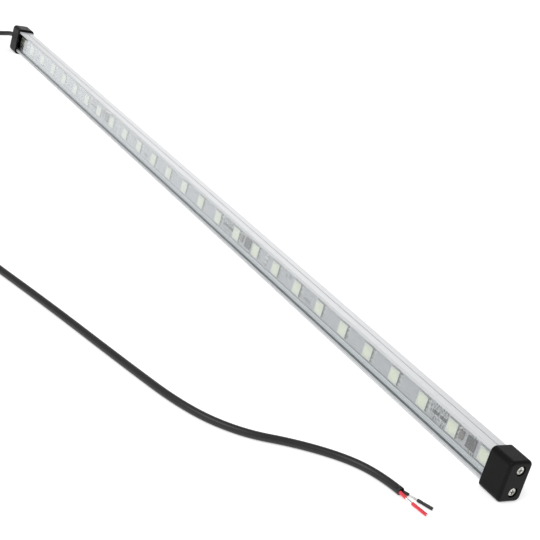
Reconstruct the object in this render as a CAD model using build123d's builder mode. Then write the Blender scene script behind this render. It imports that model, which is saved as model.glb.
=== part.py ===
from build123d import *
import math
import os

# Rigid LED light bar: an aluminium channel with three boards of LEDs behind a clear
# cover, a moulded cap screwed on at each end, and a thin two-core lead with stripped ends.
# Millimetres. X runs along the bar, with the lead at +X. +Y is the way the light goes.
# +Z is up. The origin is on the floor, under the middle of the bar.

# ---- driving dimensions ----
PROFILE_LENGTH = 450.0
PROFILE_DEPTH = 7.2      # along Y, back to open front
PROFILE_HEIGHT = 11.6    # along Z
WALL = 0.9
FLOOR = 0.8
PROFILE_EDGE = 0.25

CAP_LENGTH = 9.5
CAP_DEPTH = 9.2
CAP_HEIGHT = 14.4
CAP_END_WALL = 3.1
CAP_CORNER = 1.8
CAP_END_ROUND = 1.0
GASKET = 0.5
FIT = 0.1                # clearance of the parts that push together

COVER_THICKNESS = 0.95
COVER_SLOT = 1.1
COVER_SLOT_DEPTH = 0.45
COVER_SLOT_BACK = 4.8    # from the profile's back face

SLOT_RUN = 445.0         # the board slots are milled away past this, for the end blocks
SLOT_SIDE = 1.4          # how far the ledges and ribs stand in from the walls
BOARD_SEAT = 2.9         # from the profile's back face to the ledges
RIB_GAP = 0.3            # between the boards' face and the ribs
RIB = 0.45
RIB_LINE = 0.25
RIB_LINE_DEPTH = 0.15
RIB_LINE_UP = 0.85       # from the wall to the middle of the line
CLIP_GROOVE_BACK = 3.4
CLIP_GROOVE = 0.4
CLIP_GROOVE_DEPTH = 0.2

TAPE = 0.1
BOARD = 0.8
BOARD_HEIGHT = 9.6
BOARD_GAP = 0.1
BOARD_END_GAP = 2.6      # between the last board and the profile's end
BOARDS = 3
LEDS_PER_BOARD = 9
LED_PITCH = PROFILE_LENGTH / (BOARDS * LEDS_PER_BOARD)
FIRST_LED = -214.1
LED_SIDE = 5.0
LED_HEIGHT = 0.9
LED_WELL_RADIUS = 2.15
LED_WELL_DEPTH = 0.4
WELL_GAP = 0.02

CHIP = (4.2, 3.9, 0.6)
CHIP_STAND_OFF = 0.05
CHIP_AT = 0.42           # in LED pitches from the board's first LED
PIN_WIDTH = 0.42
PIN_PITCH = 1.0
PIN_REACH = 1.0
PIN_THICKNESS = 0.2
PINS_PER_SIDE = 4
RESISTOR = (1.25, 2.0, 0.5)
RESISTOR_END = 0.35
RESISTORS_AT = (1.27, 1.37, 1.52, 1.62)
CAPACITOR = (1.9, 3.0, 0.7)
CAPACITOR_AT = 0.72
CAPACITOR_UP = 0.2
BRIDGE = (2.6, 1.3, 0.35)
BRIDGE_ROUND = 0.15
BRIDGES_UP = (-2.6, -0.9, 0.9, 2.6)

SCREW_SPACING = 7.6
SCREW_BACK = 4.0         # from the cap's back face
SCREW_RADIUS = 0.75
SCREW_LENGTH = 4.4
SCREW_CLEARANCE = 0.1
THREAD_CLEARANCE = 0.03
HEAD_RADIUS = 1.5
HEAD_HEIGHT = 1.1
HEAD_ROUND = 0.3
COUNTERBORE_RADIUS = 1.75
COUNTERBORE_DEPTH = 1.5
RECESS_LENGTH = 1.8
RECESS_WIDTH = 0.42
RECESS_DEPTH = 0.6

BLOCK_LENGTH = 2.4
BLOCK_BOSS = 2.1
BLOCK_WEB = 0.85
BLOCK_FRONT_GAP = 0.1

CABLE_RADIUS = 1.3
CORE_RADIUS = 0.52
STRAND_RADIUS = 0.3
BORE_CLEARANCE = 0.03
ARC_SHARE = 0.45         # of the shorter run, at each corner of a wire or cable
GROMMET_SEAT_RADIUS = 1.7
GROMMET_FLANGE_RADIUS = 2.0
GROMMET_FLANGE = 0.8
GROMMET_TIP_RADIUS = 1.62
GROMMET_LENGTH = 4.0

COIL_CENTRE = (150.0, 62.0)
COIL_OUTER_TURN = 17.5
COIL_TURNS = 5
COIL_START = 70.0
COIL_END = 80.0
COIL_HEIGHT = 5.8
COIL_ROUND = 1.2
TIE_WIDTH = 2.5
TIE_THICKNESS = 0.6
TIE_AT = 300.0
TIE_HEAD = (4.2, 3.6, 3.0)

# ---- places worked out from them ----
HALF = PROFILE_LENGTH / 2
CAP_OUTER = HALF + GASKET + CAP_END_WALL
CAP_INNER = CAP_OUTER - CAP_LENGTH
MID_Z = CAP_HEIGHT / 2
BACK = -PROFILE_DEPTH / 2
BOARD_BACK = BACK + BOARD_SEAT + TAPE
BOARD_FACE = BOARD_BACK + BOARD
INSIDE_HEIGHT = PROFILE_HEIGHT - 2 * WALL
SCREW_Y = SCREW_BACK - CAP_DEPTH / 2
SCREW_SPOTS = [(SCREW_Y, MID_Z - SCREW_SPACING / 2), (SCREW_Y, MID_Z + SCREW_SPACING / 2)]
CABLE_Y = SCREW_Y
BOARD_SPAN = LED_PITCH * LEDS_PER_BOARD
BOARDS_START = FIRST_LED - LED_PITCH / 2
BOARDS_END = HALF - BOARD_END_GAP
BOARD_JOINTS = [BOARDS_START + BOARD_SPAN * k for k in range(1, BOARDS)]
BOARD_NAMES = ["near", "middle", "far"]
FLOOR_Z = CABLE_RADIUS

# The lead from the cap to the coil: straight out, down to the floor and round behind.
LEAD_TO_COIL = [
    (HALF + GASKET, CABLE_Y, MID_Z),
    (238.0, CABLE_Y, MID_Z),
    (247.5, 4.6, 3.4),
    (254.0, 15.0, 1.5),
    (254.5, 28.0, FLOOR_Z),
    (246.0, 40.0, FLOOR_Z),
    (231.0, 50.5, FLOOR_Z),
    (211.0, 58.5, FLOOR_Z),
    (187.0, 66.2, FLOOR_Z),
    (169.0, 73.6, FLOOR_Z),
]
# The lead from the coil to its stripped end, along the floor beside the bar.
LEAD_TO_END = [
    (141.5, 81.6, 3.7),
    (126.0, 85.5, 2.8),
    (104.0, 89.0, 1.6),
    (72.0, 95.5, FLOOR_Z),
    (36.0, 100.2, FLOOR_Z),
    (0.0, 105.8, FLOOR_Z),
    (-33.0, 112.8, FLOOR_Z),
    (-62.0, 116.6, FLOOR_Z),
    (-104.0, 103.4, FLOOR_Z),
    (-143.0, 92.8, FLOOR_Z),
    (-172.0, 84.2, FLOOR_Z),
    (-186.5, 72.5, FLOOR_Z),
    (-193.5, 56.5, FLOOR_Z),
    (-203.0, 43.5, FLOOR_Z),
    (-213.0, 37.6, FLOOR_Z),
    (-220.8, 36.3, FLOOR_Z),
]
# The two cores past the end of the jacket: each first run is insulated, the second is
# bare, and the third carries the slipped-down slug of insulation.
RED_CORE = [(-221.05, 36.86, 1.3), (-223.6, 36.3, 0.95), (-226.0, 35.6, 0.62), (-232.0, 34.4, 0.55)]
BLACK_CORE = [(-220.9, 35.72, 1.3), (-222.4, 34.3, 1.0), (-224.6, 32.7, 0.65), (-229.6, 30.2, 0.55)]
SLUG_SHARE = 0.97        # how much of the last run the slug covers
SLUG_CLEARANCE = 0.04
SLUG_NICK = 0.35         # where the blade marked the slug, as a share of its length
NICK_DEPTH = 0.12
NICK_WIDTH = 0.25

FEED_PAD_UP = 1.6
FEED_PAD_X = 218.5
FEED_BEND_X = 224.6
FEED_DIP_X = 222.0
FEED_EASE = 0.1          # how far the wires swing before and after their bends
CORE_PITCH = CORE_RADIUS + 0.03

os.makedirs("parts", exist_ok=True)


def write(piece, name):
    """Label a finished piece and write it as a STEP file of the same name."""
    piece.part.label = name
    export_step(piece.part, f"parts/{name}.step")


def window_plane(y):
    """A plane facing the window at y. Local x is X, local y is down, from mid-height."""
    return Plane(origin=(0, y, MID_Z), x_dir=(1, 0, 0), z_dir=(0, 1, 0))


def led_x(index):
    return FIRST_LED + LED_PITCH * index


def end_plane(side, x):
    """A plane across the bar at distance x from its middle, facing outwards."""
    return Plane(origin=(side * x, 0, 0), x_dir=(0, side, 0), z_dir=(side, 0, 0))


def end_spots(side, spots):
    """Places given as (y, z), in the local axes of an end plane."""
    return [(side * y, z) for y, z in spots]


def channel():
    """The extruded aluminium channel, with its grooves and the slots that hold the boards' edges."""
    section = Plane.YZ.offset(-HALF)
    with BuildPart() as piece:
        with BuildSketch(section):
            with Locations((0, MID_Z)):
                Rectangle(PROFILE_DEPTH, PROFILE_HEIGHT)
            with Locations((BACK + FLOOR, MID_Z)):
                Rectangle(PROFILE_DEPTH, INSIDE_HEIGHT, align=(Align.MIN, Align.CENTER), mode=Mode.SUBTRACT)
            with Locations((BACK + COVER_SLOT_BACK, MID_Z)):
                Rectangle(
                    COVER_SLOT,
                    INSIDE_HEIGHT + 2 * COVER_SLOT_DEPTH,
                    align=(Align.MIN, Align.CENTER),
                    mode=Mode.SUBTRACT,
                )
            for top in (-1, 1):
                with Locations((BACK + CLIP_GROOVE_BACK, MID_Z + top * PROFILE_HEIGHT / 2)):
                    Rectangle(
                        CLIP_GROOVE,
                        2 * CLIP_GROOVE_DEPTH,
                        align=(Align.MIN, Align.CENTER),
                        mode=Mode.SUBTRACT,
                    )
        extrude(amount=PROFILE_LENGTH)
        long_edges = piece.edges().filter_by(Axis.X)
        back_edges = long_edges.group_by(Axis.Y)[0]
        front_edges = long_edges.group_by(Axis.Y)[-1]
        outer_edges = back_edges + [front_edges.sort_by(Axis.Z)[0], front_edges.sort_by(Axis.Z)[-1]]
        fillet(outer_edges, PROFILE_EDGE)
        rib_back = BOARD_FACE + RIB_GAP
        with BuildSketch(Plane.YZ.offset(-SLOT_RUN / 2)):
            for top, inward in ((-1, Align.MIN), (1, Align.MAX)):
                wall = MID_Z + top * INSIDE_HEIGHT / 2
                with Locations((BACK + FLOOR, wall)):
                    Rectangle(BOARD_SEAT - FLOOR, SLOT_SIDE, align=(Align.MIN, inward))
                with Locations((rib_back, wall)):
                    Rectangle(RIB, SLOT_SIDE, align=(Align.MIN, inward))
                with Locations((rib_back + RIB, wall - top * RIB_LINE_UP)):
                    Rectangle(2 * RIB_LINE_DEPTH, RIB_LINE, mode=Mode.SUBTRACT)
        extrude(amount=SLOT_RUN)
    write(piece, "channel_extrusion")


def cover():
    """The clear strip that slides into the channel's front slots."""
    width = INSIDE_HEIGHT + 2 * COVER_SLOT_DEPTH - 2 * FIT
    margin = (COVER_SLOT - COVER_THICKNESS) / 2
    with BuildPart() as piece:
        with BuildSketch(Plane.YZ.offset(-HALF)):
            with Locations((BACK + COVER_SLOT_BACK + margin, MID_Z)):
                Rectangle(COVER_THICKNESS, width, align=(Align.MIN, Align.CENTER))
        extrude(amount=PROFILE_LENGTH)
    write(piece, "clear_cover")


def strip_behind(name, start, end, y, thickness, height):
    """A flat strip inside the channel, from start to end along X."""
    with BuildPart() as piece:
        with BuildSketch(window_plane(y)):
            with Locations(((start + end) / 2, 0)):
                Rectangle(end - start, height)
        extrude(amount=thickness)
    write(piece, name)


def boards():
    """Three boards soldered end to end, on one length of thermal tape."""
    strip_behind("thermal_tape", BOARDS_START, BOARDS_END, BACK + BOARD_SEAT, TAPE, BOARD_HEIGHT)
    starts = [BOARDS_START] + [x + BOARD_GAP / 2 for x in BOARD_JOINTS]
    ends = [x - BOARD_GAP / 2 for x in BOARD_JOINTS] + [BOARDS_END]
    for name, start, end in zip(BOARD_NAMES, starts, ends):
        strip_behind(f"board_{name}", start, end, BOARD_BACK, BOARD, BOARD_HEIGHT)


def leds():
    """Each board's nine square LED packages, and the phosphor that fills their wells."""
    for k, name in enumerate(BOARD_NAMES):
        spots = [(led_x(k * LEDS_PER_BOARD + i), 0) for i in range(LEDS_PER_BOARD)]
        with BuildPart() as packages:
            with BuildSketch(window_plane(BOARD_FACE)):
                with Locations(*spots):
                    Rectangle(LED_SIDE, LED_SIDE)
            extrude(amount=LED_HEIGHT)
            with BuildSketch(window_plane(BOARD_FACE + LED_HEIGHT)):
                with Locations(*spots):
                    Circle(LED_WELL_RADIUS)
            extrude(amount=-LED_WELL_DEPTH, mode=Mode.SUBTRACT)
        write(packages, f"led_packages_{name}")
        with BuildPart() as phosphor:
            with BuildSketch(window_plane(BOARD_FACE + LED_HEIGHT - LED_WELL_DEPTH + WELL_GAP)):
                with Locations(*spots):
                    Circle(LED_WELL_RADIUS - WELL_GAP)
            extrude(amount=LED_WELL_DEPTH - 2 * WELL_GAP)
        write(phosphor, f"led_phosphor_{name}")


def blocks_on_boards(name, places, size, lift=0.0, edge=0.0):
    """Like blocks standing on the boards' face, one at each (x, up) place."""
    length, height, thickness = size
    with BuildPart() as piece:
        with BuildSketch(window_plane(BOARD_FACE + lift)):
            with Locations(*[(x, -up) for x, up in places]):
                Rectangle(length, height)
        extrude(amount=thickness)
        if edge:
            fillet(piece.faces().filter_by(Axis.Y).group_by(Axis.Y)[-1].edges(), edge)
    write(piece, name)


def small_parts():
    """The driver chips, resistors, capacitors and the solder between the boards."""
    firsts = [led_x(k * LEDS_PER_BOARD) for k in range(BOARDS)]
    chips = [x + CHIP_AT * LED_PITCH for x in firsts]
    blocks_on_boards("driver_chips", [(x, 0) for x in chips], CHIP, CHIP_STAND_OFF)
    pin_xs = [(i - (PINS_PER_SIDE - 1) / 2) * PIN_PITCH for i in range(PINS_PER_SIDE)]
    feet_up = CHIP[1] / 2 + PIN_REACH / 2
    feet = [(x + dx, side * feet_up) for x in chips for dx in pin_xs for side in (-1, 1)]
    blocks_on_boards("chip_pins", feet, (PIN_WIDTH, PIN_REACH, PIN_THICKNESS))
    middles = [(x + at * LED_PITCH, 0) for x in firsts for at in RESISTORS_AT]
    body_height = RESISTOR[1] - 2 * RESISTOR_END
    blocks_on_boards("resistor_bodies", middles, (RESISTOR[0], body_height, RESISTOR[2]))
    end_up = (RESISTOR[1] - RESISTOR_END) / 2
    ends = [(x, side * end_up) for x, _ in middles for side in (-1, 1)]
    blocks_on_boards("resistor_ends", ends, (RESISTOR[0], RESISTOR_END, RESISTOR[2]))
    blocks_on_boards("capacitors", [(x + CAPACITOR_AT * LED_PITCH, CAPACITOR_UP) for x in firsts], CAPACITOR)
    bridges = [(x, up) for x in BOARD_JOINTS for up in BRIDGES_UP]
    blocks_on_boards("solder_bridges", bridges, BRIDGE, 0.0, BRIDGE_ROUND)


def end_pieces(side, name, with_cable):
    """A cap with its gasket, its two screws and the block inside that they bite into."""
    spots = end_spots(side, SCREW_SPOTS)
    cable_spot = end_spots(side, [(CABLE_Y, MID_Z)])
    with BuildPart() as cap:
        with BuildSketch(end_plane(side, CAP_INNER)):
            with Locations((0, MID_Z)):
                RectangleRounded(CAP_DEPTH, CAP_HEIGHT, CAP_CORNER)
        extrude(amount=CAP_LENGTH)
        fillet(cap.faces().sort_by(Axis.X)[-1 if side > 0 else 0].edges(), CAP_END_ROUND)
        with BuildSketch(end_plane(side, CAP_INNER)):
            with Locations((0, MID_Z)):
                Rectangle(PROFILE_DEPTH + 2 * FIT, PROFILE_HEIGHT + 2 * FIT)
        extrude(amount=CAP_LENGTH - CAP_END_WALL, mode=Mode.SUBTRACT)
        with BuildSketch(end_plane(side, CAP_OUTER)):
            with Locations(*spots):
                Circle(COUNTERBORE_RADIUS)
        extrude(amount=-COUNTERBORE_DEPTH, mode=Mode.SUBTRACT)
        with BuildSketch(end_plane(side, CAP_OUTER)):
            with Locations(*spots):
                Circle(SCREW_RADIUS + SCREW_CLEARANCE)
            if with_cable:
                with Locations(*cable_spot):
                    Circle(GROMMET_SEAT_RADIUS + BORE_CLEARANCE)
        extrude(amount=-CAP_END_WALL, mode=Mode.SUBTRACT)
    write(cap, f"end_cap_{name}")

    with BuildPart() as gasket:
        with BuildSketch(end_plane(side, HALF)):
            with Locations((0, MID_Z)):
                Rectangle(PROFILE_DEPTH + FIT, PROFILE_HEIGHT + FIT)
            with Locations(*spots):
                Circle(SCREW_RADIUS + SCREW_CLEARANCE, mode=Mode.SUBTRACT)
            if with_cable:
                with Locations(*cable_spot):
                    Circle(CABLE_RADIUS + SCREW_CLEARANCE, mode=Mode.SUBTRACT)
        extrude(amount=GASKET)
    write(gasket, f"cap_gasket_{name}")

    block_back = BACK + FLOOR + FIT
    block_front = BACK + COVER_SLOT_BACK - BLOCK_FRONT_GAP
    block_height = INSIDE_HEIGHT - 2 * FIT
    middle_y = side * (block_back + block_front) / 2
    with BuildPart() as block:
        with BuildSketch(end_plane(side, HALF - BLOCK_LENGTH)):
            with Locations((middle_y, MID_Z)):
                Rectangle(block_front - block_back, block_height)
            with Locations((middle_y - side * BLOCK_WEB, MID_Z)):
                Rectangle(block_front - block_back, block_height - 2 * BLOCK_BOSS, mode=Mode.SUBTRACT)
            with Locations(*spots):
                Circle(SCREW_RADIUS + THREAD_CLEARANCE, mode=Mode.SUBTRACT)
        extrude(amount=BLOCK_LENGTH)
    write(block, f"insert_block_{name}")

    seat = CAP_OUTER - COUNTERBORE_DEPTH
    with BuildPart() as screws:
        with BuildSketch(end_plane(side, seat)):
            with Locations(*spots):
                Circle(HEAD_RADIUS)
        extrude(amount=HEAD_HEIGHT)
        top = screws.faces().sort_by(Axis.X)[-2:] if side > 0 else screws.faces().sort_by(Axis.X)[:2]
        fillet(top.edges(), HEAD_ROUND)
        with BuildSketch(end_plane(side, seat)):
            with Locations(*spots):
                Circle(SCREW_RADIUS)
        extrude(amount=-SCREW_LENGTH)
        with BuildSketch(end_plane(side, seat + HEAD_HEIGHT)):
            for turn in (0, 90):
                with Locations(*[Location((y, z), turn) for y, z in spots]):
                    Rectangle(RECESS_LENGTH, RECESS_WIDTH)
        extrude(amount=-RECESS_DEPTH, mode=Mode.SUBTRACT)
    write(screws, f"cap_screws_{name}")


def grommet():
    """The tapered collar round the lead where it leaves the far cap."""
    start = HALF + GASKET
    with BuildPart() as piece:
        with BuildSketch(Plane.XY.offset(MID_Z)):
            with BuildLine():
                Polyline(
                    (start, CABLE_Y + CABLE_RADIUS + BORE_CLEARANCE),
                    (start, CABLE_Y + GROMMET_SEAT_RADIUS),
                    (CAP_OUTER, CABLE_Y + GROMMET_SEAT_RADIUS),
                    (CAP_OUTER, CABLE_Y + GROMMET_FLANGE_RADIUS),
                    (CAP_OUTER + GROMMET_FLANGE, CABLE_Y + GROMMET_FLANGE_RADIUS),
                    (CAP_OUTER + GROMMET_LENGTH, CABLE_Y + GROMMET_TIP_RADIUS),
                    (CAP_OUTER + GROMMET_LENGTH, CABLE_Y + CABLE_RADIUS + BORE_CLEARANCE),
                    close=True,
                )
            make_face()
        revolve(axis=Axis((0, CABLE_Y, MID_Z), (1, 0, 0)))
    write(piece, "cable_grommet")


def corner_radii(points):
    """The largest easy arc at each corner: a share of its shorter run over tan of half the turn."""
    spots = [Vector(*p) for p in points]
    radii = []
    for before, here, after in zip(spots, spots[1:], spots[2:]):
        into = here - before
        out = after - here
        half_turn = math.radians(into.get_angle(out)) / 2
        radii.append(ARC_SHARE * min(into.length, out.length) / math.tan(half_turn))
    return radii


def tube(name, points, radius):
    """A round tube along straight runs joined by tangent arcs."""
    radii = corner_radii(points)
    with BuildPart() as piece:
        with BuildLine() as route:
            FilletPolyline(*points, radius=radii)
        line = route.wires()[0]
        with BuildSketch(Plane(origin=line @ 0, z_dir=line % 0)):
            Circle(radius)
        sweep(path=line)
    ratio = piece.part.volume / (math.pi * radius**2 * line.length)
    print(name, "length", round(line.length, 1), "volume ratio", round(ratio, 4))
    print("  arc radii", [round(r, 1) for r in radii])
    write(piece, name)


def coil_point(degrees, z):
    angle = math.radians(degrees)
    return (
        COIL_CENTRE[0] + COIL_OUTER_TURN * math.cos(angle),
        COIL_CENTRE[1] + COIL_OUTER_TURN * math.sin(angle),
        z,
    )


def lead():
    """The lead, its coil and the tie that holds the coil."""
    upper = 3 * CABLE_RADIUS
    tube("lead_to_coil", LEAD_TO_COIL + [coil_point(COIL_START, FLOOR_Z)], CABLE_RADIUS)
    tube("lead_to_end", [coil_point(COIL_END, upper)] + LEAD_TO_END, CABLE_RADIUS)
    bundle = CABLE_RADIUS * COIL_TURNS
    outer = COIL_OUTER_TURN + CABLE_RADIUS
    inner = COIL_OUTER_TURN - bundle - CABLE_RADIUS
    with BuildPart() as coil:
        with BuildSketch():
            with Locations(COIL_CENTRE):
                Circle(outer)
                Circle(inner, mode=Mode.SUBTRACT)
        extrude(amount=COIL_HEIGHT)
        fillet(coil.edges().group_by(Axis.Z)[-1], COIL_ROUND)
    write(coil, "lead_coil")

    middle = (outer + inner) / 2
    angle = math.radians(TIE_AT)
    radial = Vector(math.cos(angle), math.sin(angle), 0)
    origin = Vector(COIL_CENTRE[0], COIL_CENTRE[1], 0) + radial * middle
    across = Plane(origin=origin, x_dir=radial, z_dir=Vector(-math.sin(angle), math.cos(angle), 0))
    rise = across.y_dir.Z * (COIL_HEIGHT / 2 + TIE_THICKNESS / 2)
    with BuildPart() as tie:
        with BuildSketch(across):
            with Locations((0, rise)):
                RectangleRounded(outer - inner + 2 * TIE_THICKNESS, COIL_HEIGHT + TIE_THICKNESS, COIL_ROUND)
                RectangleRounded(
                    outer - inner, COIL_HEIGHT - TIE_THICKNESS, COIL_ROUND / 2, mode=Mode.SUBTRACT
                )
        extrude(amount=TIE_WIDTH / 2, both=True)
        with BuildSketch(across):
            with Locations(((outer - inner) / 2 + TIE_THICKNESS, rise)):
                Rectangle(TIE_HEAD[2], TIE_HEAD[1], align=(Align.MIN, Align.CENTER))
        extrude(amount=TIE_HEAD[0] / 2, both=True)
    write(tie, "coil_tie")
    turn_loss = 2 * CABLE_RADIUS * 2 * (COIL_TURNS / 2) ** 2 / 2
    turns_length = 2 * math.pi * (COIL_TURNS * COIL_OUTER_TURN - turn_loss)
    print("length in the coil's turns", round(turns_length, 1))


def straight_sleeve(name, start, end, nick):
    """A short straight sleeve of insulation round a core."""
    run = end - start
    with BuildPart() as piece:
        with BuildSketch(Plane(origin=start, z_dir=run)):
            Circle(CORE_RADIUS)
            Circle(STRAND_RADIUS + SLUG_CLEARANCE, mode=Mode.SUBTRACT)
        extrude(amount=run.length)
        if nick:
            with BuildSketch(Plane(origin=start + run * SLUG_NICK, z_dir=run)):
                Circle(CORE_RADIUS)
                Circle(CORE_RADIUS - NICK_DEPTH, mode=Mode.SUBTRACT)
            extrude(amount=NICK_WIDTH, mode=Mode.SUBTRACT)
    write(piece, name)


def stripped_ends():
    """Each core past the jacket: stub of insulation, bare strands and slipped slug."""
    for colour, points in (("red", RED_CORE), ("black", BLACK_CORE)):
        start, stub_end, slug_start, tip = [Vector(*p) for p in points]
        into_stub = (stub_end - start).normalized()
        stub_stop = stub_end - into_stub * CORE_RADIUS
        slug_run = tip - slug_start
        slug_from = slug_start + slug_run * (1 - SLUG_SHARE) / 2 + slug_run.normalized() * CORE_RADIUS
        slug_to = tip + slug_run.normalized() * CORE_RADIUS
        straight_sleeve(f"core_stub_{colour}", start, stub_stop, False)
        straight_sleeve(f"pulled_slug_{colour}", slug_from, slug_to, True)
        tube(f"bare_strands_{colour}", points, STRAND_RADIUS)


def feed_wires():
    """The cores inside the far cap, from the lead's end to pads on the back of the last board."""
    pad_y = BOARD_BACK - TAPE - CORE_RADIUS - FEED_EASE / 2
    for colour, side in (("red", 1), ("black", -1)):
        points = [
            (HALF + GASKET - FIT, CABLE_Y, MID_Z + side * CORE_PITCH),
            (FEED_BEND_X, CABLE_Y - 2 * FEED_EASE, MID_Z + side * (CORE_PITCH + FEED_EASE)),
            (FEED_DIP_X, pad_y - 2 * FEED_EASE, MID_Z + side * (FEED_PAD_UP - 2 * FEED_EASE)),
            (FEED_PAD_X, pad_y, MID_Z + side * FEED_PAD_UP),
        ]
        tube(f"feed_wire_{colour}", points, CORE_RADIUS)


channel()
cover()
boards()
leds()
small_parts()
end_pieces(-1, "near", False)
end_pieces(1, "far", True)
grommet()
lead()
stripped_ends()
feed_wires()
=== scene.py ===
"""Looks for a slim LED batten: an aluminium channel, three boards of LEDs, two end caps and a thin lead."""

import math

import bmesh
import bpy
import numpy as np
from mathutils import Matrix, Vector


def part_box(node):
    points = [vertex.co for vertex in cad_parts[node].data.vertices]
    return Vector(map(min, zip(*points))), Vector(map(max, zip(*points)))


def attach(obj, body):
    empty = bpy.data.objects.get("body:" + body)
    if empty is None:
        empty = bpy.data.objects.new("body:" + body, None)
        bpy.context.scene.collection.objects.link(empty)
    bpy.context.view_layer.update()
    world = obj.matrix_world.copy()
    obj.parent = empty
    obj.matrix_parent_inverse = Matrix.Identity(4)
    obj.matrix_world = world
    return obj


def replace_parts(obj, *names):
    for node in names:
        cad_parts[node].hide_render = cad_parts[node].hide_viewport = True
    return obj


bl_info = {
    "name": "LED batten finishes",
    "version": (1, 0, 0),
    "blender": (4, 5, 0),
    "location": "3D View > Sidebar > Batten",
    "description": "Builds the fine pieces and finishes of a slim LED batten over its CAD frame",
    "category": "Object",
}

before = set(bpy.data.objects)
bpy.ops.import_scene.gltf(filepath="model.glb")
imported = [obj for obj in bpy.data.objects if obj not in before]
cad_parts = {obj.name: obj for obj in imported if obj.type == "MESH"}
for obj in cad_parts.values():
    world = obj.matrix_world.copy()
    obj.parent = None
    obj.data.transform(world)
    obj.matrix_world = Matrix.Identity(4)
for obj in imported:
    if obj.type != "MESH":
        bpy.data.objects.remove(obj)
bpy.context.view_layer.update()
BODY = "root"
MM = 0.001
BOARDS = ("near", "middle", "far")
LEDS_PER_BOARD = 9
FLOOR_LIFT = 0.0013  # the lead's centreline above the floor
RING_SIDES = 28  # sides of the collar and of the jacket's cut rim
POLE_GAP = 0.000001  # points nearer than this are one point, as at a pole

# The lead's route in millimetres: from the cap down to the coil, then from the coil to its stripped end.
LEAD_TO_COIL = [
    (225.5, -0.6, 7.2), (238.0, -0.6, 7.2), (247.5, 4.6, 3.4), (254.0, 15.0, 1.5), (254.5, 28.0, 1.3),
    (246.0, 40.0, 1.3), (231.0, 50.5, 1.3), (211.0, 58.5, 1.3), (187.0, 66.2, 1.3), (169.0, 73.6, 1.3),
]
LEAD_TO_END = [
    (141.5, 81.6, 3.7), (126.0, 85.5, 2.8), (104.0, 89.0, 1.6), (72.0, 95.5, 1.3), (36.0, 100.2, 1.3),
    (0.0, 105.8, 1.3), (-33.0, 112.8, 1.3), (-62.0, 116.6, 1.3), (-104.0, 103.4, 1.3), (-143.0, 92.8, 1.3),
    (-172.0, 84.2, 1.3), (-186.5, 72.5, 1.3), (-193.5, 56.5, 1.3), (-203.0, 43.5, 1.3), (-213.0, 37.6, 1.3),
    (-220.8, 36.3, 1.3),
]
# Each core past the jacket: an insulated stub, bare strands, and the slug of insulation pulled along them.
RED_CORE = [(-221.05, 36.86, 1.3), (-223.6, 36.3, 0.95), (-226.0, 35.6, 0.62), (-232.0, 34.4, 0.55)]
BLACK_CORE = [(-220.9, 35.72, 1.3), (-222.4, 34.3, 1.0), (-224.6, 32.7, 0.65), (-229.6, 30.2, 0.55)]
COIL_CENTRE = (150.0, 62.0)
COIL_START, COIL_END = 70.0, 80.0  # degrees, as is TIE_AT
TIE_AT = 300.0

# Places along a board, in LED pitches from its first LED.
CHIP_AT = 0.42
CERAMIC_AT = 0.72
RESISTORS_AT = (1.27, 1.37, 1.52, 1.62)

CAMERA_LENS = 83.44
CAMERA_AT = (-0.45219, 0.26917, 0.17456)
CAMERA_RIGHT = Vector((-0.47910557, -0.83670298, 0.26530355))
CAMERA_UP = Vector((0.43362131, 0.03718138, 0.90032778))
CAMERA_AHEAD = Vector((0.76317129, -0.54639333, -0.34499844))


# ---------------------------------------------------------------- settings

class BattenSizes(bpy.types.PropertyGroup):
    lead_diameter: bpy.props.FloatProperty(
        name="Lead diameter", description="Outside diameter of the jacket",
        default=0.0026, unit="LENGTH", precision=4)
    lead_length: bpy.props.FloatProperty(
        name="Lead length", description="From the cap to the end of the jacket",
        default=1.01, unit="LENGTH")
    coil_turns: bpy.props.IntProperty(
        name="Coil turns", description="Turns of the spare length", default=5, min=1)
    coil_radius: bpy.props.FloatProperty(
        name="Coil radius", description="To the middle of the outer turn",
        default=0.0175, unit="LENGTH", precision=4)
    core_diameter: bpy.props.FloatProperty(
        name="Core diameter", description="Over the insulation of one core",
        default=0.00104, unit="LENGTH", precision=5)
    strand_diameter: bpy.props.FloatProperty(
        name="Strand diameter", description="One strand of a conductor",
        default=0.0002, unit="LENGTH", precision=5)
    strands: bpy.props.IntProperty(
        name="Strands", description="Strands laid round the middle one", default=6, min=3)
    led_side: bpy.props.FloatProperty(
        name="LED side", description="Side of one LED package",
        default=0.005, unit="LENGTH", precision=4)
    resin_radius: bpy.props.FloatProperty(
        name="Resin radius", description="Radius of the resin in the well",
        default=0.00213, unit="LENGTH", precision=5)
    tie_width: bpy.props.FloatProperty(
        name="Tie width", description="Width of the cable tie",
        default=0.0025, unit="LENGTH", precision=4)


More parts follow.
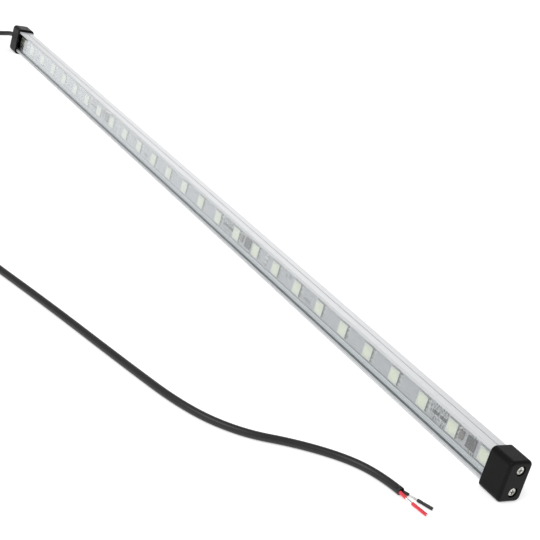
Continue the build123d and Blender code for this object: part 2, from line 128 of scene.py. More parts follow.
class BattenColours(bpy.types.PropertyGroup):
    metal: bpy.props.FloatVectorProperty(
        name="Channel", description="Anodised aluminium",
        subtype="COLOR", default=(0.86, 0.87, 0.885))
    board: bpy.props.FloatVectorProperty(
        name="Board", description="Solder mask of the boards",
        subtype="COLOR", default=(0.465, 0.455, 0.475))
    package: bpy.props.FloatVectorProperty(
        name="LED body", description="Moulded LED package",
        subtype="COLOR", default=(0.76, 0.76, 0.68))
    resin: bpy.props.FloatVectorProperty(
        name="LED resin", description="Phosphor resin in the LED's well",
        subtype="COLOR", default=(0.77, 0.78, 0.60))
    cap: bpy.props.FloatVectorProperty(
        name="Caps", description="Moulded end caps",
        subtype="COLOR", default=(0.0070, 0.0066, 0.0066))
    jacket: bpy.props.FloatVectorProperty(
        name="Jacket", description="Outer jacket of the lead",
        subtype="COLOR", default=(0.007, 0.0072, 0.0075))
    red: bpy.props.FloatVectorProperty(
        name="Positive core", description="Insulation of the positive core",
        subtype="COLOR", default=(0.72, 0.035, 0.06))
    black: bpy.props.FloatVectorProperty(
        name="Negative core", description="Insulation of the negative core",
        subtype="COLOR", default=(0.008, 0.008, 0.009))
    floor: bpy.props.FloatVectorProperty(
        name="Floor", description="Paper the batten stands on",
        subtype="COLOR", default=(0.93, 0.93, 0.93))


class BattenLight(bpy.types.PropertyGroup):
    sky: bpy.props.FloatProperty(
        name="Sky", description="Strength of the even light all round",
        default=0.55)
    key: bpy.props.FloatProperty(
        name="Key", description="Power of the light above and in front",
        default=7.0, unit="POWER")
    fill: bpy.props.FloatProperty(
        name="Fill", description="Power of the low light behind",
        default=2.5, unit="POWER")


# ---------------------------------------------------------------- shader sums

class Wire:
    """One output socket that joins in Python sums; each sum adds its Math node."""

    def __init__(self, graph, socket):
        self.graph = graph
        self.socket = socket

    def _sum(self, operation, a, b=0.0):
        return self.graph.add("ShaderNodeMath", {"operation": operation}, {0: a, 1: b})

    def __add__(self, other):
        return self._sum("ADD", self, other)

    def __radd__(self, other):
        return self._sum("ADD", other, self)

    def __sub__(self, other):
        return self._sum("SUBTRACT", self, other)

    def __rsub__(self, other):
        return self._sum("SUBTRACT", other, self)

    def __mul__(self, other):
        return self._sum("MULTIPLY", self, other)

    def __rmul__(self, other):
        return self._sum("MULTIPLY", other, self)

    def __pow__(self, other):
        return self._sum("POWER", self, other)

    def __lt__(self, other):
        return self._sum("LESS_THAN", self, other)

    def __gt__(self, other):
        return self._sum("GREATER_THAN", self, other)

    def __abs__(self):
        return self._sum("ABSOLUTE", self)

    def held(self):
        """The value kept between 0 and 1."""
        return self.graph.add("ShaderNodeClamp", None, {"Value": self})

    def between(self, low, high):
        """1 where the value lies between low and high, and 0 elsewhere."""
        return (self > low) * (self < high)


class Graph:
    """A material's node tree. add() makes any node from its type, its settings, and the values or wires of
    its sockets. A scale is one number, or one for each of the object coordinates, which are in metres."""

    def __init__(self, name):
        self.material = bpy.data.materials.new(name)
        self.material.use_nodes = True
        self.tree = self.material.node_tree
        self.tree.nodes.clear()

    def add(self, kind, settings=None, sockets=None, out=0):
        node = self.tree.nodes.new(kind)
        for key, value in (settings or {}).items():
            if key == "stops":
                ramp = node.color_ramp
                while len(ramp.elements) < len(value):
                    ramp.elements.new(0.5)
                for element, (place, colour) in zip(ramp.elements, value):
                    element.position = place
                    element.color = (*colour, 1.0)
            else:
                setattr(node, key, value)
        for key, value in (sockets or {}).items():
            if isinstance(value, Wire):
                self.tree.links.new(value.socket, node.inputs[key])
            else:
                node.inputs[key].default_value = value
        return Wire(self, node.outputs[out])

    def place(self, scale, turn=(0.0, 0.0, 0.0)):
        """Object coordinates, scaled and turned."""
        at = self.add("ShaderNodeTexCoord", out="Object")
        per_axis = scale if isinstance(scale, tuple) else (scale,) * 3
        return self.add("ShaderNodeMapping", None, {"Vector": at, "Scale": per_axis, "Rotation": turn})

    def axis(self, name):
        """One of the object coordinates, as a number."""
        at = self.add("ShaderNodeTexCoord", out="Object")
        return self.add("ShaderNodeSeparateXYZ", None, {"Vector": at}, out=name)

    def noise(self, scale, turn=(0.0, 0.0, 0.0), detail=3.0, roughness=0.55):
        vector = self.place(scale, turn)
        return self.add("ShaderNodeTexNoise", None,
                        {"Vector": vector, "Scale": 1.0, "Detail": detail, "Roughness": roughness})

    def patches(self, low, high, scale, **noise):
        """Soft-edged patches: 0 where the noise is under low, 1 where it is over high."""
        return self.ramp(self.noise(scale, **noise), [(low, 0.0), (high, 1.0)])

    def cells(self, scale):
        sockets = {"Vector": self.place(1.0), "Scale": scale}
        return self.add("ShaderNodeTexVoronoi", None, sockets, out="Distance")

    def ramp(self, value, stops):
        greys = [(at, (v, v, v)) for at, v in stops]
        return self.add("ShaderNodeValToRGB", {"stops": greys}, {"Fac": value})

    def tint(self, share, first, second):
        """A colour between first and second; share 0 is the first."""
        values = {0: share, 6: first, 7: second}
        sockets = {k: (*v, 1.0) if isinstance(v, (tuple, list)) else v for k, v in values.items()}
        return self.add("ShaderNodeMix", {"data_type": "RGBA"}, sockets, out=2)

    def bump(self, height, strength, distance):
        heights = {"Height": height, "Strength": strength, "Distance": distance}
        return self.add("ShaderNodeBump", None, heights)

    def principled(self, **sockets):
        """A Principled shader; an underscore in a name stands for the space in the socket's name."""
        named = {k.replace("_", " "): v for k, v in sockets.items()}
        if isinstance(named["Base Color"], tuple):
            named["Base Color"] = (*named["Base Color"], 1.0)
        return self.add("ShaderNodeBsdfPrincipled", None, named)

    def show(self, shader):
        """The finished material, with this shader on its surface."""
        node = self.tree.nodes.new("ShaderNodeOutputMaterial")
        self.tree.links.new(shader.socket, node.inputs["Surface"])
        return self.material


def shade(colour, factor):
    """The same colour, lighter or darker by a factor."""
    return tuple(min(1.0, c * factor) for c in colour)


# ---------------------------------------------------------------- finishes

def anodised_aluminium(colour):
    """Extruded and anodised: die lines along the bar, soft cloudy patches and faint handling marks.
    Painted shade, broken up by a noise, darkens the cover's seat, the lines of the ribs, the clip grooves
    and the front edges; the metal inside the channel is painted lighter."""
    g = Graph("anodised aluminium")
    lines = g.noise((5.0, 2200.0, 2200.0), detail=4.0, roughness=0.65)
    fine = g.noise((40.0, 9000.0, 9000.0), detail=2.0)
    cloud = g.noise((30.0, 160.0, 160.0))
    marks = g.patches(0.62, 0.72, (900.0, 260.0, 260.0), turn=(0.0, 0.0, 0.5), detail=5.0)
    share = (lines * 0.55 + cloud * 0.35 + fine * 0.2 - 0.08).held()
    base = g.tint(share, shade(colour, 0.8), shade(colour, 1.07))
    low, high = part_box("clear_cover")
    half = (high.z - low.z) / 2
    board_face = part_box("board_middle")[1].y
    front_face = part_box("channel_extrusion")[1].y
    across = g.axis("Y")
    away = abs(g.axis("Z") - (low.z + high.z) / 2)
    # Painted light: inside the channel the metal is coloured lighter, and it is also less metallic.
    inside = (across > board_face) * (away < half - 0.35 * MM)
    base = g.tint(inside, base, g.tint(lines, colour, shade(colour, 1.13)))
    # Painted shade: the cover's seat, the rib lines, the clip grooves, the front faces and a line along the
    # lips are darkened.
    seat = across.between(low.y - 0.1 * MM, high.y + 0.3 * MM)
    seat = seat * away.between(half - 0.4 * MM, half + 0.15 * MM)
    rib = (across > board_face + 0.6 * MM) * away.between(half - 1.49 * MM, half - 1.22 * MM)
    clip = across.between(-0.21 * MM, 0.21 * MM) * (away > half + 0.35 * MM)
    front = across > front_face - 0.12 * MM
    line = front * away.between(half - 0.14 * MM, half + 0.1 * MM)
    painted_shade = seat * 0.8 + rib * 0.5 + clip * 0.35 + front * 0.2 + line * 0.25
    # This noise only breaks up the painted shade.
    dust = (lines * 0.5 + cloud * 0.5 - 0.2).held()
    base = g.tint(painted_shade * (dust * 0.5 + 0.75), base, (0.09, 0.09, 0.095))
    return g.show(g.principled(
        Base_Color=g.tint(marks * 0.35, base, shade(colour, 0.72)), Metallic=(0.4 - inside * 0.35).held(),
        Roughness=(0.32 + lines * 0.14 + cloud * 0.1 + marks * 0.1).held(),
        Normal=g.bump(lines * 0.7 + fine * 0.3, 0.35, 0.03 * MM)))


def clear_sheet():
    """Clear extruded cover: see-through, mirroring more at a slant, with faint draw lines and dust."""
    g = Graph("clear polycarbonate")
    lines = g.noise((3.0, 900.0, 900.0))
    dust = g.patches(0.60, 0.75, 1500.0, detail=4.0)
    gloss = g.principled(
        Base_Color=(0.96, 0.98, 1.0), Metallic=1.0, Roughness=(0.07 + dust * 0.3).held(),
        Normal=g.bump(lines, 0.12, 0.02 * MM))
    clear = g.add("ShaderNodeBsdfTransparent", None, {"Color": (0.95, 0.965, 0.965, 1.0)})
    slant = g.add("ShaderNodeLayerWeight", None, {"Blend": 0.5}, out="Facing")
    share = (0.06 + slant ** 4.0 * 2.1 + dust * 0.05 + lines * 0.02).held()
    return g.show(g.add("ShaderNodeMixShader", None, {0: share, 1: clear, 2: gloss}))


def solder_mask(colour):
    """White solder mask over copper: broad traces that stand up a little, a soft mottle and flux haze,
    and a band of painted shade along each long edge, where the board meets the channel's ribs."""
    g = Graph("board solder mask")
    low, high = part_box("board_middle")
    edge = abs(g.axis("Z") * (1.0 / MM) - (low.z + high.z) / 2 / MM)
    rails = g.ramp((edge * 0.2).held(), [(0.70, 0.0), (0.73, 1.0), (0.90, 1.0), (0.93, 0.0)])
    steps = g.add("ShaderNodeTexBrick", None, {
        "Vector": g.place(60.0, (math.pi / 2, 0.0, 0.0)), "Color1": (1.0, 1.0, 1.0, 1.0),
        "Color2": (0.7, 0.7, 0.7, 1.0), "Mortar": (0.0, 0.0, 0.0, 1.0), "Scale": 1.0, "Mortar Size": 0.03,
        "Brick Width": 1.0, "Row Height": 0.14}, out="Color")
    mottle = g.noise(500.0, detail=5.0, roughness=0.6)
    haze = g.patches(0.48, 0.68, (180.0, 260.0, 260.0))
    base = g.tint(mottle, shade(colour, 0.86), shade(colour, 1.12))
    base = g.tint(rails * 0.22, base, shade(colour, 0.74))
    base = g.tint(haze * 0.25, base, shade(colour, 1.25))
    # Painted shade: a dark band along each long edge of the board.
    base = g.tint((edge > 3.2) * 0.5, base, shade(colour, 0.2))
    return g.show(g.principled(
        Base_Color=base, Roughness=(0.36 + mottle * 0.2 + haze * 0.1).held(), Coat_Weight=0.25,
        Coat_Roughness=0.2, Normal=g.bump(rails * 0.6 + steps * 0.3 + mottle * 0.1, 0.5, 0.05 * MM)))


def moulded(name, colour, grain=4200.0, gloss=0.55, depth=0.04, lift=1.7, shine=0.5):
    """Moulded plastic: fine spark-eroded texture, faint flow clouding and lighter scuffs. depth is the
    texture's, in millimetres, gloss is the roughness and shine the specular level."""
    g = Graph(name)
    texture = g.cells(grain)
    cloud = g.noise(220.0, detail=4.0)
    scuff = g.patches(0.58, 0.74, (380.0, 900.0, 700.0), turn=(0.3, 0.2, 0.5), detail=6.0, roughness=0.7)
    base = g.tint(cloud, shade(colour, 0.8), shade(colour, 1.25))
    roughness = (gloss - 0.1 + cloud * 0.16 + scuff * 0.14 + texture * 0.06).held()
    return g.show(g.principled(
        Base_Color=g.tint(scuff * 0.45, base, shade(colour, lift)), Roughness=roughness,
        Specular_IOR_Level=shine, Normal=g.bump(texture + cloud * 0.4, 0.35, depth * MM)))


def soft_jacket(name, colour, gloss=0.42):
    """Flexible vinyl: slight orange peel, long soft ripples from the cores inside, and dusty patches."""
    g = Graph(name)
    peel = g.noise(2600.0)
    ripple = g.noise((170.0, 170.0, 400.0), detail=2.0)
    dust = g.patches(0.56, 0.72, 1100.0, detail=6.0, roughness=0.7)
    base = g.tint(ripple, shade(colour, 0.75), shade(colour, 1.35))
    return g.show(g.principled(
        Base_Color=g.tint(dust * 0.4, base, tuple(c * 2.0 + 0.012 for c in colour)),
        Roughness=(gloss - 0.06 + ripple * 0.12 + dust * 0.18).held(),
        Normal=g.bump(ripple * 0.8 + peel * 0.2, 0.4, 0.12 * MM)))


def led_package(colour):
    """White moulded package with a warm cast; the two sides with terminals are darkened by painted shade.
    """
    g = Graph("LED package")
    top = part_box("led_packages_middle")[1].y
    first = led_centres("near")[0, 0]
    pitch = led_centres("near")[1, 0] - first
    pitches_along = (g.axis("X") - first) * (1.0 / pitch) + 100.5
    share = g.add("ShaderNodeMath", {"operation": "FRACT"}, {0: pitches_along})
    # Painted shade: below its top, each package's two sides with terminals go nearly black.
    side = (g.axis("Y") < top - 0.06 * MM) * (abs(share - 0.5) > 2.46 * MM / pitch)
    cloud = g.noise(900.0)
    base = g.tint(cloud, shade(colour, 0.92), shade(colour, 1.06))
    return g.show(g.principled(
        Base_Color=g.tint(side * 0.92, base, (0.10, 0.10, 0.065)), Roughness=(0.4 + cloud * 0.15).held(),
        Normal=g.bump(cloud, 0.2, 0.03 * MM)))


def plain_metal(name, colour, roughness=0.3, grain=2500.0, tarnish=0.6):
    """Small plated or tinned metal: fine pits and a dull film in patches."""
    g = Graph(name)
    pits = g.noise(grain, detail=4.0)
    film = g.patches(0.42, 0.66, 900.0)
    return g.show(g.principled(
        Base_Color=g.tint(film, colour, shade(colour, tarnish)), Metallic=1.0,
        Roughness=(roughness + film * 0.18 + pits * 0.1).held(), Normal=g.bump(pits, 0.3, 0.03 * MM)))


def phosphor_resin(colour):
    """Silicone with phosphor powder: cloudy, with a soft glossy skin."""
    g = Graph("phosphor resin")
    powder = g.noise(6000.0)
    cloud = g.noise(900.0, detail=2.0)
    base = g.tint((powder * 0.5 + cloud * 0.5).held(), shade(colour, 0.9), shade(colour, 1.18))
    return g.show(g.principled(
        Base_Color=base, Roughness=(0.22 + powder * 0.16).held(), Coat_Weight=0.3, Coat_Roughness=0.12,
        Normal=g.bump(cloud, 0.2, 0.06 * MM)))


def printed(name, colour):
    """Printed legend ink, a little uneven."""
    g = Graph(name)
    worn = g.noise(3500.0, detail=4.0)
    base = g.tint(worn, shade(colour, 0.7), shade(colour, 1.5))
    return g.show(g.principled(Base_Color=base, Roughness=(0.5 + worn * 0.2).held()))


def paper(colour):
    """Matt paper on a lit table, with a barely seen tooth."""
    g = Graph("paper floor")
    tooth = g.noise(60.0, detail=6.0)
    return g.show(g.principled(
        Base_Color=g.tint(tooth, shade(colour, 0.99), shade(colour, 1.01)), Roughness=0.9,
        Specular_IOR_Level=0.0, Emission_Color=(1.0, 1.0, 1.0, 1.0), Emission_Strength=0.42,
        Normal=g.bump(tooth, 0.05, 0.2 * MM)))


# ---------------------------------------------------------------- shapes

def piece(name, points, faces, slot, finish, smooth=True):
    """A mesh object from arrays of points and faces, with its poles merged, riding on the batten."""
    mesh = bpy.data.meshes.new(name)
    mesh.from_pydata(points.reshape(-1, 3).tolist(), [], faces.tolist())
    shape = bmesh.new()
    shape.from_mesh(mesh)
    bmesh.ops.remove_doubles(shape, verts=shape.verts, dist=POLE_GAP)
    shape.to_mesh(mesh)
    shape.free()
    mesh.polygons.foreach_set("use_smooth", np.full(len(mesh.polygons), smooth))
    thing = bpy.data.objects.new(name, mesh)
    bpy.context.scene.collection.objects.link(thing)
    mesh.materials.append(finish)
    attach(thing, BODY)
    return thing


def grid_faces(rows, columns, ring):
    """Quads between neighbouring points of a grid; with ring, the last column meets the first."""
    i = np.arange(rows - 1)[:, None]
    j = np.arange(columns if ring else columns - 1)[None, :]
    k = (j + 1) % columns
    here, below = i * columns, (i + 1) * columns
    return np.stack([here + j, here + k, below + k, below + j], axis=-1).reshape(-1, 4)


def frames(line):
    """Along a line: the unit tangent, a level vector square to it, and the vector square to both."""
    tangent = np.gradient(line, axis=0)
    tangent /= np.linalg.norm(tangent, axis=1, keepdims=True)
    level = np.cross(np.array([0.0, 0.0, 1.0]), tangent)
    level /= np.linalg.norm(level, axis=1, keepdims=True)
    return tangent, level, np.cross(tangent, level)


def tube(line, radii, sides):
    """A round skin about a line: point = line + radius (cos a level + sin a up), with a the angle round it.
    It closes at its ends where the radii begin and end in zero."""
    _, level, up = frames(line)
    angle = np.linspace(0.0, 2.0 * math.pi, sides, endpoint=False)
    ring = np.cos(angle)[None, :, None] * level[:, None] + np.sin(angle)[None, :, None] * up[:, None]
    return line[:, None] + np.asarray(radii)[:, None, None] * ring, grid_faces(len(line), sides, True)


def joined(parts):
    """Several point and face arrays as one."""
    points, faces, start = [], [], 0
    for p, f in parts:
        flat = p.reshape(-1, 3)
        points.append(flat)
        faces.append(f + start)
        start += len(flat)
    return np.concatenate(points), np.concatenate(faces)


def nurbs(name, controls, diameter=0.0):
    """An open NURBS curve of order 3 through its end points, with the rest as control points."""
    curve = bpy.data.curves.new(name, "CURVE")
    curve.dimensions = "3D"
    spline = curve.splines.new("NURBS")
    spline.points.add(len(controls) - 1)
    flat = np.concatenate([np.asarray(controls, float), np.ones((len(controls), 1))], axis=1)
    spline.points.foreach_set("co", flat.ravel())
    spline.order_u = 3
    spline.use_endpoint_u = True
    spline.resolution_u = 12
    curve.bevel_depth = diameter / 2
    curve.bevel_resolution = 6
    curve.use_fill_caps = True
    thing = bpy.data.objects.new(name, curve)
    bpy.context.scene.collection.objects.link(thing)
    return thing


def line_of(controls, start, stop, count):
    """Evenly spaced points of the controls' NURBS line, between two shares of its length."""
    thing = nurbs("route", controls)
    bpy.context.view_layer.update()
    mesh = bpy.data.meshes.new_from_object(thing)
    line = np.zeros(len(mesh.vertices) * 3)
    mesh.vertices.foreach_get("co", line)
    line = line.reshape(-1, 3)
    bpy.data.meshes.remove(mesh)
    bpy.data.objects.remove(thing)
    run = np.concatenate([[0.0], np.cumsum(np.linalg.norm(np.diff(line, axis=0), axis=1))])
    at = np.linspace(start, stop, count) * run[-1]
    return np.stack([np.interp(at, run, line[:, k]) for k in range(3)], axis=1)


def pillows(centres, size, height, rows=7, power=3.0, domed=1.0):
    """Many low pads that face +Y: over the square u, v in -1..1 a pad's height is the full height times
    ((1 - |u|^power)(1 - |v|^power))^domed, so its rim lies on the surface that the centres are on."""
    u = np.linspace(-1.0, 1.0, rows)
    a, b = np.meshgrid(u, u, indexing="ij")
    rise = np.clip((1 - np.abs(a) ** power) * (1 - np.abs(b) ** power), 0, 1) ** domed
    unit = np.stack([a * size[0] / 2, rise * height, b * size[1] / 2], axis=-1)
    points = np.asarray(centres)[:, None, None, :] + unit[None]
    one = grid_faces(rows, rows, False)
    faces = (one[None] + (np.arange(len(centres)) * rows * rows)[:, None, None]).reshape(-1, 4)
    return points, faces


def discs(centres, radii, rises, sides=20):
    """Many round surfaces that face +Y, each a profile of radius and rise carried round its centre."""
    angle = np.linspace(0.0, 2.0 * math.pi, sides, endpoint=False)
    r = np.asarray(radii)[:, None]
    rise = np.repeat(np.asarray(rises)[:, None], sides, 1)
    unit = np.stack([r * np.cos(angle), rise, r * np.sin(angle)], axis=-1)
    points = np.asarray(centres)[:, None, None, :] + unit[None]
    one = grid_faces(len(radii), sides, True)[:, ::-1]
    faces = (one[None] + (np.arange(len(centres)) * len(radii) * sides)[:, None, None]).reshape(-1, 4)
    return points, faces


def led_centres(board):
    """Centres of a board's LEDs, on the board's face."""
    low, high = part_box(f"led_packages_{board}")
    half = bpy.context.scene.batten_sizes.led_side / 2
    x = np.linspace(low.x + half, high.x - half, LEDS_PER_BOARD)
    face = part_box(f"board_{board}")[1].y
    return np.stack([x, np.full_like(x, face), np.full_like(x, (low.z + high.z) / 2)], axis=1)


def on_board(board, places):
    """Points on a board's face, each given as LED pitches past the first LED, and millimetres up."""
    centres = led_centres(board)
    along, up = np.array(places, float).T
    zeros = np.zeros_like(along)
    return centres[0] + np.stack([along * (centres[1, 0] - centres[0, 0]), zeros, up * MM], axis=1)


def shifted(places, x=0.0, z=0.0):
    return places + np.array([x, 0.0, z])


# ---------------------------------------------------------------- operators

class BATTEN_OT_stage(bpy.types.Operator):
    """Makes the pale floor, the even studio light and the camera"""

    bl_idname = "batten.stage"
    bl_label = "Stage, light and camera"

    def execute(self, context):
        scene = context.scene
        colours, light = scene.batten_colours, scene.batten_light
        count = 19
        edge = np.linspace(-9.0, 9.0, count)
        x, y = np.meshgrid(edge, edge, indexing="ij")
        points = np.stack([x, y, np.zeros_like(x)], axis=-1)
        mesh = bpy.data.meshes.new("floor")
        faces = grid_faces(count, count, False)[:, ::-1]
        mesh.from_pydata(points.reshape(-1, 3).tolist(), [], faces.tolist())
        floor = bpy.data.objects.new("floor", mesh)
        scene.collection.objects.link(floor)
        mesh.materials.append(paper(tuple(colours.floor)))

        world = bpy.data.worlds.new("even sky")
        world.use_nodes = True
        background = world.node_tree.nodes["Background"]
        background.inputs["Color"].default_value = (1.0, 1.0, 1.0, 1.0)
        background.inputs["Strength"].default_value = light.sky
        scene.world = world
        for name, power, size, at in (
            ("key", light.key, 0.8, (-0.45, 0.85, 0.95)),
            ("fill", light.fill, 0.9, (1.1, -0.8, 0.5)),
        ):
            lamp = bpy.data.lights.new(name, "AREA")
            lamp.energy = power
            lamp.size = size
            holder = bpy.data.objects.new(name, lamp)
            holder.location = at
            holder.rotation_euler = (-Vector(at)).to_track_quat("-Z", "Y").to_euler()
            scene.collection.objects.link(holder)

        lens = bpy.data.cameras.new("camera")
        lens.lens = CAMERA_LENS
        lens.sensor_width = 36.0
        lens.clip_start = 0.01
        lens.clip_end = 50.0
        camera = bpy.data.objects.new("camera", lens)
        turn = Matrix((CAMERA_RIGHT, CAMERA_UP, -CAMERA_AHEAD)).transposed().to_4x4()
        camera.matrix_world = Matrix.Translation(CAMERA_AT) @ turn
        scene.collection.objects.link(camera)
        scene.camera = camera
        scene.view_settings.view_transform = "Standard"
        return {"FINISHED"}


class BATTEN_OT_lead(bpy.types.Operator):
    """Makes the lead as one line from the cap, through its coil, to its stripped end, and what is on it"""

    bl_idname = "batten.lead"
    bl_label = "Lead, collar and tie"

    def coil(self, sizes):
        """Points of the coil's turns: the radius falls by a diameter a turn to halfway, then grows back in
        a second layer a diameter higher. The turns rise a little over the tie."""
        turns = sizes.coil_turns + (COIL_END - COIL_START) / 360.0
        change, tie_lift = 0.6, 0.6 * MM  # turns from one layer to the next, and the rise over the tie
        turn = np.linspace(0.0, turns, 16 * sizes.coil_turns + 1)
        radius = sizes.coil_radius - sizes.lead_diameter * np.minimum(turn, turns - turn)
        layer = np.clip((turn - turns / 2) / change + 0.5, 0.0, 1.0)
        angle = math.radians(COIL_START) + 2 * math.pi * turn
        lift = tie_lift * np.clip(np.cos(angle - math.radians(TIE_AT)), 0.0, 1.0) ** 6
        x = COIL_CENTRE[0] * MM + radius * np.cos(angle)
        y = COIL_CENTRE[1] * MM + radius * np.sin(angle)
        z = FLOOR_LIFT + sizes.lead_diameter * layer * layer * (3 - 2 * layer) + lift
        return np.stack([x, y, z], axis=1).tolist()

    def execute(self, context):
        scene = context.scene
        sizes, colours = scene.batten_sizes, scene.batten_colours
        vinyl = soft_jacket("black vinyl jacket", tuple(colours.jacket))
        route = [tuple(c * MM for c in p) for p in LEAD_TO_COIL]
        route += self.coil(sizes)
        route += [tuple(c * MM for c in p) for p in LEAD_TO_END]
        lead = nurbs("lead", route, sizes.lead_diameter)
        lead.data.materials.append(vinyl)
        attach(lead, BODY)
        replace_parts(lead, "lead_to_coil", "lead_coil", "lead_to_end")

        rim = self.rim(sizes, vinyl)
        collar = self.collar(sizes, tuple(colours.cap))
        tie = self.tie(sizes, tuple(colours.cap))
        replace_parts(collar, "cable_grommet")
        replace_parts(tie, "coil_tie")
        return {"FINISHED"}

    def rim(self, sizes, finish):
        """The cut end of the jacket: a profile that rounds over the edge and dips to a hollow, carried
        round the lead's last run with a slightly ragged outline."""
        a, b = (np.array(p) * MM for p in LEAD_TO_END[-2:])
        ahead = (b - a) / np.linalg.norm(b - a)
        half = sizes.lead_diameter / 2
        along = np.array([-1.2, -1.2, -0.6, -0.15, 0.06, 0.14, 0.16, 0.10, 0.02, 0.0]) * MM
        radii = half * np.array([0.0, 1.002, 1.012, 1.015, 0.985, 0.93, 0.86, 0.80, 0.72, 0.0])
        line = b + ahead * along[:, None]
        level = np.cross([0.0, 0.0, 1.0], ahead)
        level /= np.linalg.norm(level)
        up = np.cross(ahead, level)
        angle = np.linspace(0.0, 2 * math.pi, RING_SIDES, endpoint=False)
        ragged = 1 + 0.012 * np.sin(5 * angle + 0.7) + 0.008 * np.sin(11 * angle)
        ring = np.cos(angle)[:, None] * level + np.sin(angle)[:, None] * up
        points = line[:, None] + (radii[:, None] * ragged)[..., None] * ring
        points[..., 2] = np.maximum(points[..., 2], 0.0)
        return piece("jacket_rim", points, grid_faces(len(along), RING_SIDES, True), "jacket", finish)

    def collar(self, sizes, colour):
        """The collar where the lead leaves the cap: a tapered profile with four ribs, carried round the
        lead's first run, that closes inside the cap and inside the lead."""
        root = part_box("end_cap_far")[1].x - 0.3 * MM
        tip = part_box("cable_grommet")[1].x
        _, y, z = (c * MM for c in LEAD_TO_COIL[0])
        half = sizes.lead_diameter / 2
        share = np.linspace(0.0, 1.0, 41)
        ribs = 0.12 * MM * np.clip(np.sin(share * 2 * math.pi * 4.0), -0.5, 1.0) * (share > 0.08)
        taper = (2.0 - 0.5 * share) * MM
        radii = np.concatenate([[0.0], taper + ribs, [half + 0.08 * MM, half - 0.05 * MM, 0.0]])
        x = np.concatenate([[root], root + (tip - root) * share, tip + np.array([0.02, -0.2, -0.2]) * MM])
        line = np.stack([x, np.full_like(x, y), np.full_like(x, z)], axis=1)
        angle = np.linspace(0.0, 2 * math.pi, RING_SIDES, endpoint=False)
        ring = np.stack([np.zeros_like(angle), np.cos(angle), np.sin(angle)], axis=1)
        points = line[:, None] + radii[:, None, None] * ring
        rubber = moulded("collar rubber", colour, gloss=0.6)
        return piece("lead_collar", points, grid_faces(len(x), RING_SIDES, True), "cap", rubber)

    def tie(self, sizes, colour):
        """The cable tie: a strap section with small ribs carried round the bundle's rounded-square outline,
        |a|^5 + |b|^5 = 1, a short tail, and a head like a squared ball, whose sines and cosines are raised
        to the power 0.3."""
        away = np.array([math.cos(math.radians(TIE_AT)), math.sin(math.radians(TIE_AT)), 0.0])
        side = np.array([-away[1], away[0], 0.0])
        up = np.array([0.0, 0.0, 1.0])
        low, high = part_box("lead_coil")
        outer = (high.x - low.x) / 2
        inner = 9.6 * MM  # inside radius of the coil's turns
        centre = np.array([COIL_CENTRE[0] * MM, COIL_CENTRE[1] * MM, 0.0])
        middle = centre + away * (outer + inner) / 2 + up * (high.z / 2 + 0.36 * MM)
        half_out, half_up = (outer - inner) / 2 + 0.4 * MM, high.z / 2
        angle = np.linspace(0.0, 2 * math.pi, 120, endpoint=False)
        c, s = np.cos(angle), np.sin(angle)
        reach = (np.abs(c) ** 5 + np.abs(s) ** 5) ** (-1 / 5)
        loop = middle + (reach * c * half_out)[:, None] * away + (reach * s * half_up)[:, None] * up
        outward = c[:, None] * away + s[:, None] * up
        thick = (0.28 + 0.06 * np.sign(np.sin(angle * 60))) * MM
        w = sizes.tie_width / 2
        cross = [(-w, 0.0), (-w, 0.8), (-0.85 * w, 1.0), (0.85 * w, 1.0), (w, 0.8), (w, 0.0)]
        band = np.stack([loop + side * a + outward * (thick * b)[:, None] for a, b in cross], axis=1)
        band = np.concatenate([band, band[:1]])
        strap = (band, grid_faces(len(band), len(cross), True))

        rows, columns = 17, 32
        head_at = middle + away * (half_out + 1.3 * MM) + up * 0.4 * MM
        u = np.linspace(0.0, math.pi, rows)
        v = np.linspace(0.0, 2 * math.pi, columns, endpoint=False)
        a, b = np.meshgrid(u, v, indexing="ij")

        def square(value):
            return np.sign(value) * np.abs(value) ** 0.3

        out = square(np.sin(a)) * square(np.cos(b)) * 1.4 * MM
        across = square(np.sin(a)) * square(np.sin(b)) * 1.9 * MM
        rise = square(np.cos(a)) * 1.6 * MM
        points = head_at + out[..., None] * away + across[..., None] * side + rise[..., None] * up
        head = (points, grid_faces(rows, columns, True)[:, ::-1])

        steps = 12
        share = np.linspace(0.0, 1.0, steps)
        line = head_at + up * MM + share[:, None] * (up * 1.2 + side * 0.4) * MM
        full = np.minimum(1.0, np.minimum(share, 1.0 - share) * steps)[:, None]
        points = np.stack([line + full * (side * a * 0.9 + away * b * 0.3 * MM) for a, b in cross], axis=1)
        tail = (points, grid_faces(steps, len(cross), True))
        nylon = moulded("nylon tie", shade(colour, 1.4), grain=1500.0, gloss=0.42)
        return piece("cable_tie", *joined([strap, head, tail]), "tie", nylon)


